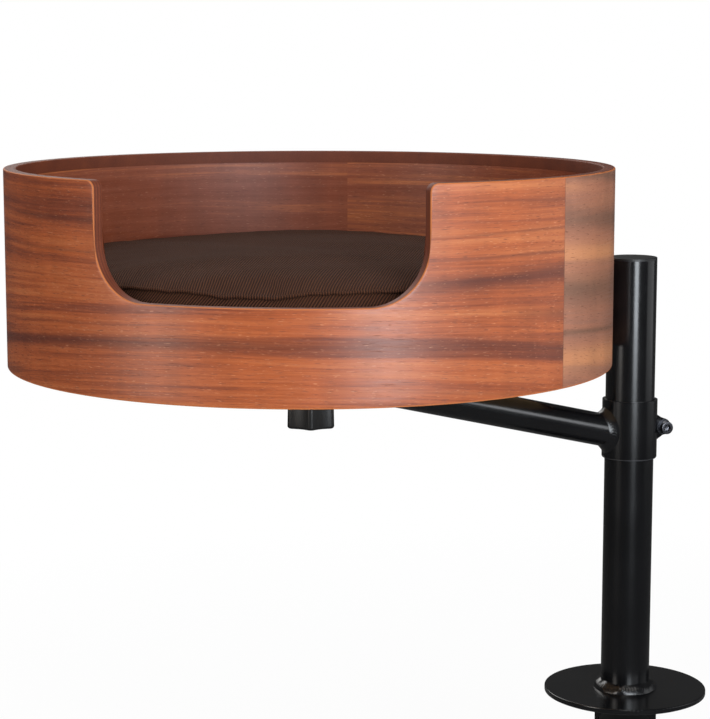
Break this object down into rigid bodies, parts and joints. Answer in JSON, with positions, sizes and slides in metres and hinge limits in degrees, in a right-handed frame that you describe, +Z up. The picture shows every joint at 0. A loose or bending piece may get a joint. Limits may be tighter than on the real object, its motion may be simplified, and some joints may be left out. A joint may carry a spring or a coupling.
{
  "type": "desk cat bed",
  "caption": "Round plywood cat bed with a cushion and a cut-away entrance, on a steel arm that slides and turns on an upright pole with a desk clamp.",
  "frame": {"origin": "on the pole's axis, in the underside of the pad that rests on the desk", "axes": "+Z up along the pole; -Y the way the bed's entrance faces at rest"},
  "size_m": [0.5198, 0.445, 0.5419],
  "materials": {
    "powder_coat": "gloss black powder coat on steel",
    "rubber": "matt black rubber sheet",
    "black_plastic": "moulded black nylon",
    "nylon": "smooth black nylon",
    "zinc_steel": "zinc-plated steel",
    "black_oxide": "black oxide on steel",
    "walnut_veneer": "satin lacquer on walnut veneer",
    "birch_plywood": "sanded birch plywood",
    "cushion_cloth": "dark brown fine-ribbed cloth",
    "foam": "cut foam",
    "zip_tape": "woven dark brown tape with moulded teeth",
    "zip_metal": "dark plated zip metal"
  },
  "bodies": {
    "stand": {"base_plate": "powder_coat", "desk_pad": "rubber", "pole_tube": "powder_coat", "pole_weld": "powder_coat", "pole_cap": "black_plastic", "clamp_bracket": "powder_coat", "bracket_weld": "powder_coat", "clamp_nut": "powder_coat"},
    "clamp_foot": {"clamp_foot": "powder_coat", "clamp_foot_pad": "rubber"},
    "clamp_screw": {"clamp_screw": "zinc_steel", "clamp_wheel": "black_plastic"},
    "liner": {"collar_liner": "nylon"},
    "arm": {"arm_collar": "powder_coat", "arm_tube": "powder_coat", "arm_weld": "powder_coat", "arm_end_cap": "black_plastic", "lock_nut": "powder_coat", "lock_weld": "powder_coat", "bed_plate": "powder_coat", "plate_weld": "powder_coat", "bolt_sleeve": "powder_coat"},
    "lock_washer": {"lock_washer": "zinc_steel"},
    "lock_screw": {"lock_screw": "black_oxide"},
    "bed": {"swivel_pad": "nylon", "bed_shell": "walnut_veneer", "bed_floor": "birch_plywood", "tee_nut": "zinc_steel"},
    "knob_washer": {"knob_washer": "zinc_steel"},
    "knob": {"bed_knob": "black_plastic", "knob_stud": "zinc_steel"},
    "cushion": {"cushion_cover": "cushion_cloth", "cushion_foam": "foam", "zip_tape": "zip_tape", "zip_stops": "zip_metal"},
    "zip_slider": {"zip_slider": "zip_metal", "zip_pull": "zip_metal"}
  },
  "joints": [
    {"name": "height_slide", "type": "slide", "parent": "stand", "child": "liner", "axis": [0, 0, 1], "range_m": [-0.17, 0.1]},
    {"name": "arm_swivel", "type": "hinge", "parent": "liner", "child": "arm", "pos_m": [0, 0, 0.214], "axis": [0, 0, 1], "continuous": true},
    {"name": "lock_travel", "type": "slide", "parent": "arm", "child": "lock_washer", "axis": [0.4695, -0.8829, 0], "range_m": [0, 0.005]},
    {"name": "lock_turn", "type": "hinge", "parent": "lock_washer", "child": "lock_screw", "pos_m": [0.02384, 0.01268, 0.2135], "axis": [0.4695, -0.8829, 0], "range_deg": [0, 1810]},
    {"name": "bed_swivel", "type": "hinge", "parent": "arm", "child": "bed", "pos_m": [-0.23383, -0.10904, 0.278], "axis": [0, 0, 1], "continuous": true},
    {"name": "knob_travel", "type": "slide", "parent": "arm", "child": "knob_washer", "axis": [0, 0, -1], "range_m": [0, 0.0141]},
    {"name": "knob_turn", "type": "hinge", "parent": "knob_washer", "child": "knob", "pos_m": [-0.23383, -0.10904, 0.24], "axis": [0, 0, -1], "range_deg": [0, 4032]},
    {"name": "cushion_lift", "type": "slide", "parent": "bed", "child": "cushion", "axis": [0, 0, 1], "range_m": [0, 0.145]},
    {"name": "zip_slide", "type": "hinge", "parent": "cushion", "child": "zip_slider", "pos_m": [-0.23383, -0.10904, 0.31], "axis": [0, 0, 1], "range_deg": [0, 92]},
    {"name": "clamp_travel", "type": "slide", "parent": "stand", "child": "clamp_foot", "axis": [0, 0, 1], "range_m": [-0.0301, 0.0151]},
    {"name": "clamp_turn", "type": "hinge", "parent": "clamp_foot", "child": "clamp_screw", "pos_m": [0, 0.01, -0.06], "axis": [0, 0, 1], "range_deg": [-7200, 3600]}
  ],
  "couplings": [
    {"joint": "lock_turn", "follows": "lock_travel", "rad_per_m": 6283.2},
    {"joint": "knob_travel", "follows": "knob_turn", "m_per_rad": 0.00019894},
    {"joint": "clamp_travel", "follows": "clamp_turn", "m_per_rad": 0.00023873}
  ]
}
